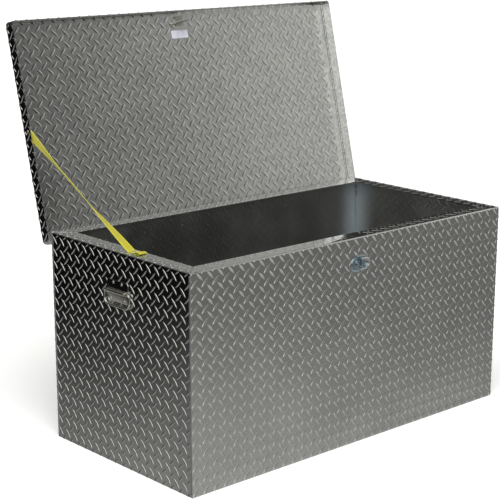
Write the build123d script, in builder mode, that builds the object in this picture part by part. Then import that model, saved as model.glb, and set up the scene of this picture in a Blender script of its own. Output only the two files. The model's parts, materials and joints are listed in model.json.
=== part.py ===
"""Truck tool box: a bright tread-plate chest with a strap-held lid, shown with its lid open."""

import os
from math import cos, radians, sin

from build123d import *

# ---- driving dimensions, in millimetres; +X right, +Y to the back, +Z up, z = 0 under the floor
WIDTH = 1219.0
DEPTH = 612.0
HEIGHT = 610.0
SHEET = 2.0
RIM = 50.8
BEND = 4.0
CORNER_GAP = 2.0

HINGE_Y = 309.15
HINGE_Z = 579.5
OPEN_ANGLE = 103.7
PIN_R = 1.6
KNUCKLE_R = 3.15
KNUCKLE_BORE = 1.65
LEAF = 1.5
KNUCKLES = 31
HINGE_LENGTH = 1209.0

LID_SIDE = 615.5
LID_FRONT = -623.15
LID_BACK = 5.15
LID_TOP = 37.5
LID_LIP = 0.0
LID_CORNER = 9.0

LOCK_Z = 534.0
LOCK_W = 68.0
LOCK_H = 46.0
LOCK_BORE = 6.08
BAIL_X = 3.0
BAIL_Y = -314.2
LOCK_HOLE_R = 11.0
LOCK_BARREL_R = 10.8
PULL_HALF = 15
PULL_ROD = 2.4
PULL_PIN_R = 1.5

STRIKER_LOW = -16.0
STRIKER_HIGH = 11.0
STRIKER_Y = -282.0

HANDLE_Z = 499.5
HANDLE_X = 615.0
HANDLE_ROD = 3.5
HANDLE_HALF = 54.5
HANDLE_DROP = 39.5
HANDLE_BEND = 9
PLATE_W = 92
PLATE_H = 60
PLATE_CORNER = 8
PLATE_T = 1.6

STRAP_W = 25.0
STRAP_T = 1.2
STRAP_LOW = Vector(-580.0, -36.0, HEIGHT)
STRAP_HIGH_S = 315.0
STRAP_HIGH_N = 15.0

RIVET_HOLE_R = 2.45
BEAD_R = 2.2
LABEL_W = 64
LABEL_H = 24
LABEL_CORNER = 3
LABEL_T = 0.3

HALF_W = WIDTH / 2
HALF_D = DEPTH / 2
IN_W = HALF_W - SHEET
IN_D = HALF_D - SHEET
RIM_W = HALF_W - RIM
RIM_D = HALF_D - RIM

a = radians(OPEN_ANGLE)
# The lid is drawn as if shut, measured from the hinge pin, on a plane turned to the open position.
LID = Plane(origin=(0, HINGE_Y, HINGE_Z), x_dir=(1, 0, 0), z_dir=(0, sin(a), cos(a)))


def span(x0, x1, y0, y1, z0, z1, mode=Mode.ADD):
    """A box between two corners, in the builder's own axes."""
    with Locations(((x0 + x1) / 2, (y0 + y1) / 2, (z0 + z1) / 2)):
        return Box(x1 - x0, y1 - y0, z1 - z0, mode=mode)


def rod(start, end, r, mode=Mode.ADD):
    """A round bar between two points that differ along one axis, in the builder's own axes."""
    start, end = Vector(*start), Vector(*end)
    line = end - start
    turn = (0, 0, 0)
    if abs(line.X) > 0.001:
        turn = (0, 90, 0)
    if abs(line.Y) > 0.001:
        turn = (90, 0, 0)
    middle = (start + end) * 0.5
    with Locations(Location(tuple(middle), turn)):
        return Cylinder(r, line.length, mode=mode)


def rivet(at, out, grip, head_r=4.6, head_h=2.0, shank=2.4, tail_h=1.2):
    """A blind rivet: domed head at the point, shank running back through the grip, upset tail."""
    axis = Vector(*out)
    base = Vector(*at)
    rod(base, base - axis * grip, shank)
    tip = base - axis * grip
    rod(tip, tip - axis * tail_h, shank + 1.1)
    rod(base, base + axis * (head_h * 0.45), head_r)
    rod(base + axis * (head_h * 0.45), base + axis * head_h, head_r * 0.62)


def finish(builder, name, results):
    builder.part.label = name
    results[name] = builder.part


parts = {}

# ---- chest: four walls with an inward rim flange, and a flat floor
with BuildPart() as front_panel:
    with BuildSketch(Plane.YZ.offset(-HALF_W)) as profile:
        with Locations((-HALF_D + SHEET / 2, HEIGHT / 2)):
            Rectangle(SHEET, HEIGHT)
        with Locations((-HALF_D + RIM / 2, HEIGHT - SHEET / 2)):
            Rectangle(RIM, SHEET)
        fillet(profile.vertices().sort_by_distance((-HALF_D, HEIGHT, 0))[0], BEND)
        fillet(profile.vertices().sort_by_distance((-IN_D, HEIGHT - SHEET, 0))[0], BEND - SHEET)
    extrude(amount=WIDTH)
    with BuildSketch(Plane.XY.offset(HEIGHT - 12)):
        for side in (-1, 1):
            with BuildLine():
                Polyline(
                    (side * (IN_W + 4), -IN_D),
                    (side * IN_W, -IN_D),
                    (side * RIM_W, -RIM_D),
                    (side * (IN_W + 4), -RIM_D),
                    close=True,
                )
            make_face()
    extrude(amount=20, mode=Mode.SUBTRACT)
    rod((0, -HALF_D - 1, LOCK_Z), (0, -IN_D + 1, LOCK_Z), LOCK_HOLE_R, Mode.SUBTRACT)
    low_x = STRIKER_LOW - 3
    high_x = STRIKER_HIGH + 3
    span(low_x, high_x, STRIKER_Y - 4, STRIKER_Y + 4, HEIGHT - 8, HEIGHT + 4, Mode.SUBTRACT)
finish(front_panel, "front_panel", parts)

HINGE_RIVET_X = [-568 + 142 * i for i in range(9)]
BODY_RIVET_Z = 558.0

with BuildPart() as rear_panel:
    with BuildSketch(Plane.YZ.offset(-HALF_W)) as profile:
        with Locations((HALF_D - SHEET / 2, HEIGHT / 2)):
            Rectangle(SHEET, HEIGHT)
        with Locations((HALF_D - RIM / 2, HEIGHT - SHEET / 2)):
            Rectangle(RIM, SHEET)
        fillet(profile.vertices().sort_by_distance((HALF_D, HEIGHT, 0))[0], BEND)
        fillet(profile.vertices().sort_by_distance((IN_D, HEIGHT - SHEET, 0))[0], BEND - SHEET)
    extrude(amount=WIDTH)
    with BuildSketch(Plane.XY.offset(HEIGHT - 12)):
        for side in (-1, 1):
            with BuildLine():
                Polyline(
                    (side * (IN_W + 4), IN_D),
                    (side * IN_W, IN_D),
                    (side * RIM_W, RIM_D),
                    (side * (IN_W + 4), RIM_D),
                    close=True,
                )
            make_face()
    extrude(amount=20, mode=Mode.SUBTRACT)
    for x in HINGE_RIVET_X:
        rod((x, IN_D - 1, BODY_RIVET_Z), (x, HALF_D + 1, BODY_RIVET_Z), RIVET_HOLE_R, Mode.SUBTRACT)
finish(rear_panel, "rear_panel", parts)

PLATE_RIVETS = [(-18.5, 523.0), (18.5, 523.0), (-30.0, 478.0), (30.0, 478.0)]
END_Y = IN_D - CORNER_GAP


def end_panel(side):
    """An end wall between the front and rear walls, with its mitred rim flange."""
    with BuildPart() as panel:
        with BuildSketch(Plane.XZ.offset(-END_Y)) as profile:
            with Locations((side * (HALF_W - SHEET / 2), HEIGHT / 2)):
                Rectangle(SHEET, HEIGHT)
            with Locations((side * (HALF_W - RIM / 2), HEIGHT - SHEET / 2)):
                Rectangle(RIM, SHEET)
            fillet(profile.vertices().sort_by_distance((side * HALF_W, HEIGHT, 0))[0], BEND)
            inner = (side * IN_W, HEIGHT - SHEET, 0)
            fillet(profile.vertices().sort_by_distance(inner)[0], BEND - SHEET)
        extrude(amount=2 * END_Y)
        with BuildSketch(Plane.XY.offset(HEIGHT - 12)):
            for end in (-1, 1):
                with BuildLine():
                    Polyline(
                        (side * (IN_W - CORNER_GAP), end * END_Y),
                        (side * RIM_W, end * RIM_D),
                        (side * (RIM_W - 4), end * RIM_D),
                        (side * (RIM_W - 4), end * (END_Y + 4)),
                        (side * (IN_W - CORNER_GAP), end * (END_Y + 4)),
                        close=True,
                    )
                make_face()
        extrude(amount=20, mode=Mode.SUBTRACT)
        for y, z in PLATE_RIVETS:
            rod((side * (IN_W - 1), y, z), (side * (HALF_W + 1), y, z), RIVET_HOLE_R, Mode.SUBTRACT)
        if side < 0:
            low = STRAP_LOW
            rod((low.X, low.Y, HEIGHT - 4), (low.X, low.Y, HEIGHT + 2), RIVET_HOLE_R, Mode.SUBTRACT)
    return panel


left_end_panel = end_panel(-1)
finish(left_end_panel, "left_end_panel", parts)
right_end_panel = end_panel(1)
finish(right_end_panel, "right_end_panel", parts)

with BuildPart() as floor_panel:
    span(-IN_W, IN_W, -IN_D, IN_D, 0, SHEET)
finish(floor_panel, "floor_panel", parts)

# ---- welds: outside beads down each corner, stitches inside, and runs along the floor
with BuildPart() as corner_weld_beads:
    for sx in (-1, 1):
        for sy in (-1, 1):
            with BuildSketch(Plane.XY.offset(4)):
                with Locations((sx * HALF_W, sy * (IN_D - CORNER_GAP / 2))):
                    Circle(BEAD_R)
                with Locations((sx * (HALF_W - 10), sy * (IN_D - CORNER_GAP / 2))):
                    Rectangle(20, 12, mode=Mode.SUBTRACT)
                with Locations((sx * (HALF_W - 0.5), sy * (IN_D - CORNER_GAP / 2))):
                    Rectangle(1.0, CORNER_GAP)
            extrude(amount=HEIGHT - 12)
finish(corner_weld_beads, "corner_weld_beads", parts)

with BuildPart() as inside_corner_welds:
    for sx in (-1, 1):
        for sy in (-1, 1):
            with BuildSketch(Plane.XY.offset(HEIGHT - 62)):
                with BuildLine():
                    Polyline(
                        (sx * IN_W, sy * IN_D),
                        (sx * IN_W, sy * (IN_D - CORNER_GAP)),
                        (sx * IN_W, sy * (IN_D - 7)),
                        (sx * (IN_W - 6), sy * IN_D),
                        close=True,
                    )
                make_face()
            extrude(amount=54)
finish(inside_corner_welds, "inside_corner_welds", parts)

with BuildPart() as floor_weld_runs:
    for sy in (-1, 1):
        for x in (-480, -240, 0, 240, 480):
            with BuildSketch(Plane.YZ.offset(x - 40)):
                with BuildLine():
                    Polyline((sy * IN_D, SHEET), (sy * IN_D, 6), (sy * (IN_D - 4), SHEET), close=True)
                make_face()
            extrude(amount=80)
    for sx in (-1, 1):
        for y in (-190, 0, 190):
            with BuildSketch(Plane.XZ.offset(-(y + 40))):
                with BuildLine():
                    Polyline((sx * IN_W, SHEET), (sx * IN_W, 6), (sx * (IN_W - 4), SHEET), close=True)
                make_face()
            extrude(amount=80)
finish(floor_weld_runs, "floor_weld_runs", parts)

# ---- continuous hinge behind the rear wall
STEP = HINGE_LENGTH / KNUCKLES
HINGE_LEFT = -HINGE_LENGTH / 2

with BuildPart() as hinge_body_leaf:
    span(HINGE_LEFT, -HINGE_LEFT, HALF_D, HALF_D + LEAF, HINGE_Z - 32, HINGE_Z - 4)
    for i in range(0, KNUCKLES, 2):
        left = HINGE_LEFT + i * STEP + 0.3
        right = HINGE_LEFT + (i + 1) * STEP - 0.3
        span(left, right, HALF_D, HALF_D + LEAF, HINGE_Z - 6, HINGE_Z)
        rod((left, HINGE_Y, HINGE_Z), (right, HINGE_Y, HINGE_Z), KNUCKLE_R)
    bore_left = (HINGE_LEFT - 1, HINGE_Y, HINGE_Z)
    bore_right = (-HINGE_LEFT + 1, HINGE_Y, HINGE_Z)
    rod(bore_left, bore_right, KNUCKLE_BORE, Mode.SUBTRACT)
    for x in HINGE_RIVET_X:
        rod((x, HALF_D - 1, BODY_RIVET_Z), (x, HALF_D + 4, BODY_RIVET_Z), RIVET_HOLE_R, Mode.SUBTRACT)
finish(hinge_body_leaf, "hinge_body_leaf", parts)

with BuildPart() as hinge_pin:
    rod((HINGE_LEFT, HINGE_Y, HINGE_Z), (-HINGE_LEFT, HINGE_Y, HINGE_Z), PIN_R)
finish(hinge_pin, "hinge_pin", parts)

with BuildPart() as hinge_body_rivets:
    for x in HINGE_RIVET_X:
        rivet((x, HALF_D + LEAF, BODY_RIVET_Z), (0, 1, 0), LEAF + SHEET, head_h=1.8)
finish(hinge_body_rivets, "hinge_body_rivets", parts)

LID_RIVET_Z = 17.0
with BuildPart(LID) as hinge_lid_leaf:
    near = KNUCKLE_BORE
    far = KNUCKLE_R
    span(HINGE_LEFT, -HINGE_LEFT, near, far, 4, 28)
    for i in range(1, KNUCKLES, 2):
        left = HINGE_LEFT + i * STEP + 0.3
        right = HINGE_LEFT + (i + 1) * STEP - 0.3
        span(left, right, near, far, 0, 6)
        rod((left, 0, 0), (right, 0, 0), KNUCKLE_R)
    rod((HINGE_LEFT - 1, 0, 0), (-HINGE_LEFT + 1, 0, 0), KNUCKLE_BORE, Mode.SUBTRACT)
    for x in HINGE_RIVET_X:
        rod((x, 0, LID_RIVET_Z), (x, 8, LID_RIVET_Z), RIVET_HOLE_R, Mode.SUBTRACT)
finish(hinge_lid_leaf, "hinge_lid_leaf", parts)

with BuildPart(LID) as hinge_lid_rivets:
    for x in HINGE_RIVET_X:
        rivet((x, LID_BACK, LID_RIVET_Z), (0, 1, 0), LEAF + SHEET, head_h=1.8, tail_h=1.0)
finish(hinge_lid_rivets, "hinge_lid_rivets", parts)

# ---- lid: one sheet turned down on all four sides
OUTWARD = Axis((0, HINGE_Y, HINGE_Z), tuple(LID.z_dir))
FLANGE_RIVET_Y = -STRAP_HIGH_S
with BuildPart(LID) as lid_outside:
    span(-LID_SIDE, LID_SIDE, LID_FRONT, LID_BACK, LID_LIP, LID_TOP)
    fillet(lid_outside.edges().filter_by(OUTWARD), LID_CORNER)
    fillet(lid_outside.faces().sort_by(OUTWARD)[-1].edges(), BEND)

with BuildPart(LID) as lid_inside:
    span(-LID_SIDE + SHEET, LID_SIDE - SHEET, LID_FRONT + SHEET, LID_BACK - SHEET, -20, LID_TOP - SHEET)
    fillet(lid_inside.edges().filter_by(OUTWARD), LID_CORNER - SHEET)
    fillet(lid_inside.faces().sort_by(OUTWARD)[-1].edges(), BEND - SHEET)

with BuildPart(LID) as lid_holes:
    span(HINGE_LEFT - 2, -HINGE_LEFT + 2, 0, LID_BACK + 4, -2, 3.6)
    for x in HINGE_RIVET_X:
        rod((x, 0, LID_RIVET_Z), (x, 12, LID_RIVET_Z), RIVET_HOLE_R)
    start = (-LID_SIDE - 3, FLANGE_RIVET_Y, STRAP_HIGH_N)
    rod(start, (-LID_SIDE + 6, FLANGE_RIVET_Y, STRAP_HIGH_N), RIVET_HOLE_R)

with BuildPart() as lid_skin:
    add(lid_outside.part)
    add(lid_inside.part, mode=Mode.SUBTRACT)
    add(lid_holes.part, mode=Mode.SUBTRACT)
finish(lid_skin, "lid_skin", parts)

with BuildPart(LID) as striker:
    shut_y = STRIKER_Y - HINGE_Y
    under = LID_TOP - SHEET
    span(STRIKER_LOW, STRIKER_HIGH, shut_y - 18, shut_y + 11, under - 3, under)
    span(STRIKER_LOW, STRIKER_HIGH, shut_y - 1.5, shut_y + 1.5, 575 - HINGE_Z, under)
    span(-8, STRIKER_HIGH + 1, shut_y - 3, shut_y + 3, 583 - HINGE_Z, 592 - HINGE_Z, Mode.SUBTRACT)
finish(striker, "striker", parts)

with BuildPart(LID) as striker_welds:
    for x in (STRIKER_LOW - 1.6, STRIKER_HIGH + 1.6):
        for y in (shut_y - 14, shut_y + 7):
            span(x - 1.6, x + 1.6, y - 3.5, y + 3.5, under - 2, under)
finish(striker_welds, "striker_welds", parts)

with BuildPart(LID) as info_label:
    with BuildSketch(LID.offset(under - LABEL_T)):
        with Locations((-5, -555)):
            RectangleRounded(LABEL_W, LABEL_H, LABEL_CORNER)
    extrude(amount=LABEL_T)
finish(info_label, "info_label", parts)

# ---- lid strap: webbing twisted a quarter turn between the rim and the lid's left flange
up = Vector(0, -cos(a), sin(a))
back = Vector(0, sin(a), cos(a))
pivot = Vector(0, HINGE_Y, HINGE_Z)
face_x = -LID_SIDE + SHEET
STRAP_HIGH = Vector(face_x + STRAP_T / 2, 0, 0) + pivot + up * STRAP_HIGH_S + back * STRAP_HIGH_N
STRAP_LIFT = HEIGHT + 1.5 * STRAP_T
RUN_START = Vector(STRAP_LOW.X, STRAP_LOW.Y + 13, STRAP_LIFT)
flat_dir = Vector(0, STRAP_HIGH.Y - RUN_START.Y, STRAP_HIGH.Z - RUN_START.Z).normalized()
RUN_END = STRAP_HIGH - flat_dir * 18
run = RUN_END - RUN_START
run_dir = run.normalized()

with BuildPart() as strap:
    low = STRAP_LOW
    span(low.X - STRAP_W / 2, low.X + STRAP_W / 2, low.Y - 14, low.Y + 14, HEIGHT, HEIGHT + 2 * STRAP_T)
    with BuildSketch(Plane.YZ.offset(low.X - STRAP_W / 2)):
        with Locations((low.Y - 24, HEIGHT + 3.4)):
            SlotOverall(30, 6.8)
            SlotOverall(30 - 2 * STRAP_T, 6.8 - 2 * STRAP_T, mode=Mode.SUBTRACT)
    extrude(amount=STRAP_W)
    rod((low.X, low.Y, HEIGHT - 1), (low.X, low.Y, HEIGHT + 8), 2.6, Mode.SUBTRACT)
    stations = 9
    for i in range(stations):
        t = i / (stations - 1)
        turn = radians(90 * t)
        across = Vector(1, 0, 0) * cos(turn) + run_dir.cross(Vector(1, 0, 0)).normalized() * sin(turn)
        centre = RUN_START + run * t
        with BuildSketch(Plane(origin=centre, x_dir=across, z_dir=run_dir)):
            Rectangle(STRAP_W, STRAP_T)
    loft()
    tip = STRAP_HIGH + flat_dir * 12
    middle = (RUN_END + tip) * 0.5
    with Locations(Plane(origin=middle, x_dir=flat_dir, z_dir=(1, 0, 0)).location):
        Box((tip - RUN_END).length, STRAP_W, STRAP_T)
    rod(
        (face_x - 3, STRAP_HIGH.Y, STRAP_HIGH.Z),
        (face_x + 5, STRAP_HIGH.Y, STRAP_HIGH.Z),
        2.6,
        Mode.SUBTRACT,
    )
finish(strap, "strap", parts)

with BuildPart() as strap_rim_rivet:
    rivet((low.X, low.Y, HEIGHT + 2 * STRAP_T), (0, 0, 1), 2 * STRAP_T + SHEET, head_r=5.4)
finish(strap_rim_rivet, "strap_rim_rivet", parts)

with BuildPart(LID) as strap_lid_rivet:
    head = (-LID_SIDE, FLANGE_RIVET_Y, STRAP_HIGH_N)
    rivet(head, (-1, 0, 0), SHEET + STRAP_T, head_r=5.0, tail_h=1.4)
finish(strap_lid_rivet, "strap_lid_rivet", parts)


# ---- end handles: riveted plate with a rolled barrel, and a swinging bail
def handle_plate(side):
    face = side * HALF_W
    with BuildPart() as plate:
        with BuildSketch(Plane.YZ.offset(face)):
            with Locations((0, 500)):
                RectangleRounded(PLATE_W, PLATE_H, PLATE_CORNER)
        extrude(amount=side * PLATE_T)
        rod((side * HANDLE_X, -38, HANDLE_Z), (side * HANDLE_X, 38, HANDLE_Z), HANDLE_ROD + 1.9)
        bore_near = (side * HANDLE_X, -60, HANDLE_Z)
        bore_far = (side * HANDLE_X, 60, HANDLE_Z)
        rod(bore_near, bore_far, HANDLE_ROD + 0.08, Mode.SUBTRACT)
        for y, z in PLATE_RIVETS:
            rod((face - side, y, z), (face + side * 9, y, z), RIVET_HOLE_R, Mode.SUBTRACT)
    return plate


def handle_rivets(side):
    with BuildPart() as rivets:
        for y, z in PLATE_RIVETS:
            rivet((side * (HALF_W + PLATE_T), y, z), (side, 0, 0), PLATE_T + SHEET, head_r=4.4, head_h=2.2)
    return rivets


def handle_bail(side):
    top = HANDLE_Z
    low_z = HANDLE_Z - HANDLE_DROP
    with BuildPart() as bail:
        with BuildLine() as loop:
            FilletPolyline(
                (side * HANDLE_X, HANDLE_HALF, top),
                (side * HANDLE_X, HANDLE_HALF, low_z),
                (side * HANDLE_X, -HANDLE_HALF, low_z),
                (side * HANDLE_X, -HANDLE_HALF, top),
                radius=HANDLE_BEND,
                close=True,
            )
        ring = loop.wires()[0]
        with BuildSketch(Plane(origin=ring @ 0, z_dir=ring % 0)):
            Circle(HANDLE_ROD)
        sweep(path=ring)
    return bail


for side, word in ((-1, "left"), (1, "right")):
    finish(handle_plate(side), word + "_handle_plate", parts)
    finish(handle_rivets(side), word + "_handle_rivets", parts)
    finish(handle_bail(side), word + "_handle_bail", parts)

# ---- lock: oval housing on the front wall, turning core with a folding pull, and an inside cam
with BuildPart() as lock_housing:
    with BuildSketch(Plane.XZ.offset(HALF_D)):
        with Locations((0, LOCK_Z)):
            SlotOverall(LOCK_W, LOCK_H)
    extrude(amount=2)
    with BuildSketch(Plane.XZ.offset(HALF_D)):
        with Locations((0, LOCK_Z)):
            SlotOverall(LOCK_W, LOCK_H)
            SlotOverall(LOCK_W - 5, LOCK_H - 5, mode=Mode.SUBTRACT)
    extrude(amount=4.4)
    rod((0, -HALF_D, LOCK_Z), (0, -293, LOCK_Z), LOCK_BARREL_R)
    rod((0, -320, LOCK_Z), (0, -290, LOCK_Z), LOCK_BORE, Mode.SUBTRACT)
finish(lock_housing, "lock_housing", parts)

with BuildPart() as lock_nut:
    with BuildSketch(Plane.XZ.offset(IN_D - 5)):
        with Locations((0, LOCK_Z)):
            RegularPolygon(17, 6)
            Circle(LOCK_BARREL_R + 0.08, mode=Mode.SUBTRACT)
    extrude(amount=5)
finish(lock_nut, "lock_nut", parts)

with BuildPart() as lock_core:
    rod((0, -311.3, LOCK_Z), (0, -308.3, LOCK_Z), 15)
    rod((0, -309, LOCK_Z), (0, -292.2, LOCK_Z), 6)
    span(-4, 4, -293, -288.6, LOCK_Z - 4, LOCK_Z + 4)
    for s in (-1, 1):
        ear = LOCK_Z + s * 10.25
        span(BAIL_X - 4, BAIL_X + 4, BAIL_Y - 2.6, -311, ear - 1.75, ear + 1.75)
    rod((BAIL_X, BAIL_Y, LOCK_Z - 13), (BAIL_X, BAIL_Y, LOCK_Z + 13), PULL_PIN_R, Mode.SUBTRACT)
    rod((0, -290, LOCK_Z), (0, -285, LOCK_Z), 1.8, Mode.SUBTRACT)
    rod((-7.5, -312, LOCK_Z), (-7.5, -309, LOCK_Z), 4.6, Mode.SUBTRACT)
finish(lock_core, "lock_core", parts)

with BuildPart() as lock_key_plug:
    rod((-7.5, -312.3, LOCK_Z), (-7.5, -309, LOCK_Z), 4.6)
    span(-8.1, -6.9, -313, -311.2, LOCK_Z - 3.2, LOCK_Z + 3.2, Mode.SUBTRACT)
finish(lock_key_plug, "lock_key_plug", parts)

with BuildPart() as lock_cam:
    span(-9, 51, -292.2, -289.2, LOCK_Z - 9, LOCK_Z + 9)
    span(51, 54, -292.2, -277, LOCK_Z - 7, LOCK_Z + 7)
    span(-4, 4, -293, -288, LOCK_Z - 4, LOCK_Z + 4, Mode.SUBTRACT)
finish(lock_cam, "lock_cam", parts)

with BuildPart() as lock_cam_screw:
    rod((0, -290, LOCK_Z), (0, -288.6, LOCK_Z), 1.8)
    rod((0, -288.6, LOCK_Z), (0, -287.6, LOCK_Z), 6.5)
    rod((0, -287.6, LOCK_Z), (0, -284.6, LOCK_Z), 4)
finish(lock_cam_screw, "lock_cam_screw", parts)

with BuildPart() as lock_pull_pin:
    rod((BAIL_X, BAIL_Y, LOCK_Z - 18), (BAIL_X, BAIL_Y, LOCK_Z + 18), PULL_PIN_R)
finish(lock_pull_pin, "lock_pull_pin", parts)

with BuildPart() as lock_pull:
    with BuildLine() as loop:
        Polyline((BAIL_X + 1, BAIL_Y, LOCK_Z + PULL_HALF), (18, BAIL_Y, LOCK_Z + PULL_HALF))
        ThreePointArc(
            (18, BAIL_Y, LOCK_Z + PULL_HALF),
            (33, BAIL_Y, LOCK_Z),
            (18, BAIL_Y, LOCK_Z - PULL_HALF),
        )
        Polyline((18, BAIL_Y, LOCK_Z - PULL_HALF), (BAIL_X + 1, BAIL_Y, LOCK_Z - PULL_HALF))
    with BuildSketch(Plane.YZ.offset(BAIL_X + 1)):
        with Locations((BAIL_Y, LOCK_Z + PULL_HALF)):
            Circle(PULL_ROD)
    sweep(path=loop.wires()[0])
    for s in (-1, 1):
        rod((BAIL_X, BAIL_Y, LOCK_Z + s * 12.4), (BAIL_X, BAIL_Y, LOCK_Z + s * 17.6), 2.7)
    rod((BAIL_X, BAIL_Y, LOCK_Z - 20), (BAIL_X, BAIL_Y, LOCK_Z + 20), PULL_PIN_R + 0.06, Mode.SUBTRACT)
finish(lock_pull, "lock_pull", parts)

os.makedirs("parts", exist_ok=True)
for name, shape in parts.items():
    export_step(shape, "parts/" + name + ".step")
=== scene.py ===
"""Looks of the tread-plate truck tool box: embossed sheet, welds, rivets, handles, lock and webbing."""

import json
from math import cos, pi, radians, sin

import bmesh
import bpy
from mathutils import Matrix, Vector, noise


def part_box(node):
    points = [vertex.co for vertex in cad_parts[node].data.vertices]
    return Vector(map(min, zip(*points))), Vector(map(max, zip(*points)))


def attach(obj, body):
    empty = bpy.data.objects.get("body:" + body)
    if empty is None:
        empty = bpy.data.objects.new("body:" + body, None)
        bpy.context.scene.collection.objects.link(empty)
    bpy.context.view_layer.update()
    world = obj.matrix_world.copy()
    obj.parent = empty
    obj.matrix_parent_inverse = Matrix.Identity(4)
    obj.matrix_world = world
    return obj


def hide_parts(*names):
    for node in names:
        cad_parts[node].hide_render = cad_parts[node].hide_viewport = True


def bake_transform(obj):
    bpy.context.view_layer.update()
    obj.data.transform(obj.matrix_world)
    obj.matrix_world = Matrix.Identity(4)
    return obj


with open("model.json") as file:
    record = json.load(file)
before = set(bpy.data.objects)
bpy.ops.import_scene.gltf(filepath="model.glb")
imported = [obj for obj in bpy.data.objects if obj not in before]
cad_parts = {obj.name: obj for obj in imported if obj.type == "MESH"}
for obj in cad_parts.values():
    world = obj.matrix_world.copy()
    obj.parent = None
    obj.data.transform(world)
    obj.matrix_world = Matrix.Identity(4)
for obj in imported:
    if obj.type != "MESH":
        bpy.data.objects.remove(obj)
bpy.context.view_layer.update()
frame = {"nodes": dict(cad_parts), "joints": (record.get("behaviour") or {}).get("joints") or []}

MM = 0.001
X = Vector((1, 0, 0))
Y = Vector((0, 1, 0))
Z = Vector((0, 0, 1))

# ---- sizes read from the frame
front_low, front_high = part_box("front_panel")
floor_low, floor_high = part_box("floor_panel")
end_low, end_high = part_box("left_end_panel")
HALF_W = front_high.x
HALF_D = -front_low.y
HEIGHT = front_high.z
RIM = front_high.y - front_low.y
SHEET = floor_high.z - floor_low.z
END_HALF = end_high.y
BEND = 4 * MM

hinge = next(j for j in frame["joints"] if j["name"] == "lid_hinge")
HINGE = Vector(hinge["pos_m"])
OPEN = radians(hinge["range_deg"][1])
LID_BACK = Vector((0, sin(OPEN), cos(OPEN)))
LID_DOWN = Vector((0, cos(OPEN), -sin(OPEN)))
LID = Matrix.Translation(HINGE) @ Matrix((X, LID_DOWN, LID_BACK)).transposed().to_4x4()


def lid_box(node):
    """A lid node's lowest and highest corners, measured in the lid's own axes."""
    back = LID.inverted()
    points = [back @ v.co for v in frame["nodes"][node].data.vertices]
    low = Vector([min(p[i] for p in points) for i in range(3)])
    high = Vector([max(p[i] for p in points) for i in range(3)])
    return low, high


lid_low, lid_high = lid_box("lid_skin")

# ---- tread pattern
PITCH = 35.5 * MM
LUG_LENGTH = 33 * MM
LUG_WIDTH = 7 * MM
LUG_HEIGHT = 1.5 * MM
PRINT_HEIGHT = 0.34 * MM
BURIED = 0.25 * MM


# ---- shader sums
class Wire:
    """A socket in a node tree. Sums on wires add Math nodes, and make() adds any other node."""

    def __init__(self, tree, socket=None):
        self.tree = tree
        self.socket = socket

    def make(self, kind, settings=None, inputs=None, output=0):
        node = self.tree.nodes.new(kind)
        for name, value in (settings or {}).items():
            if name == "stops":
                ramp = node.color_ramp.elements
                while len(ramp) < len(value):
                    ramp.new(0.5)
                for stop, (place, colour) in zip(ramp, value):
                    stop.position = place
                    stop.color = colour
            else:
                setattr(node, name, value)
        for name, value in (inputs or {}).items():
            if isinstance(value, Wire):
                self.tree.links.new(value.socket, node.inputs[name])
            else:
                node.inputs[name].default_value = value
        return Wire(self.tree, node.outputs[output]) if len(node.outputs) else node

    def sum(self, operation, a, b, clamp=False):
        return self.make("ShaderNodeMath", {"operation": operation, "use_clamp": clamp}, {0: a, 1: b})

    def __add__(self, other):
        return self.sum("ADD", self, other)

    __radd__ = __add__

    def __mul__(self, other):
        return self.sum("MULTIPLY", self, other)

    __rmul__ = __mul__

    def __sub__(self, other):
        return self.sum("SUBTRACT", self, other)

    def __rsub__(self, other):
        return self.sum("SUBTRACT", other, self)

    def above(self, low, high):
        """0 under low and 1 over high, with a smooth step between."""
        settings = {"interpolation_type": "SMOOTHSTEP"}
        return self.make("ShaderNodeMapRange", settings, {0: self, 1: low, 2: high})

    def blend(self, a, b):
        """Colour a where this mask is 0 and colour b where it is 1."""
        return self.make("ShaderNodeMix", {"data_type": "RGBA"}, {0: self, 6: a, 7: b}, 2)

    def parts(self):
        """The three numbers of a vector."""
        node = self.make("ShaderNodeSeparateXYZ", None, {0: self})
        return [Wire(self.tree, s) for s in node.socket.node.outputs]

    def stretched(self, scale):
        return self.make("ShaderNodeMapping", None, {0: self, 3: scale})

    def noise(self, scale, detail=3, rough=0.5):
        values = {"Vector": self, "Scale": scale, "Detail": detail, "Roughness": rough}
        return self.make("ShaderNodeTexNoise", None, values)

    def bump(self, strength, distance, normal=None):
        values = {"Height": self, "Strength": strength, "Distance": distance}
        if normal:
            values["Normal"] = normal
        return self.make("ShaderNodeBump", None, values)


def grey(level, alpha=1.0):
    return (level, level, level, alpha)


def new_material(name):
    material = bpy.data.materials.new(name)
    material.use_nodes = True
    tree = material.node_tree
    tree.nodes.clear()
    return material, Wire(tree)


def finish_material(wire, values):
    """Ends a material in one Principled shader with these socket values."""
    shader = wire.make("ShaderNodeBsdfPrincipled", None, values)
    wire.make("ShaderNodeOutputMaterial", None, {"Surface": shader})


def place(wire):
    return wire.make("ShaderNodeTexCoord", None, None, 3)


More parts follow.
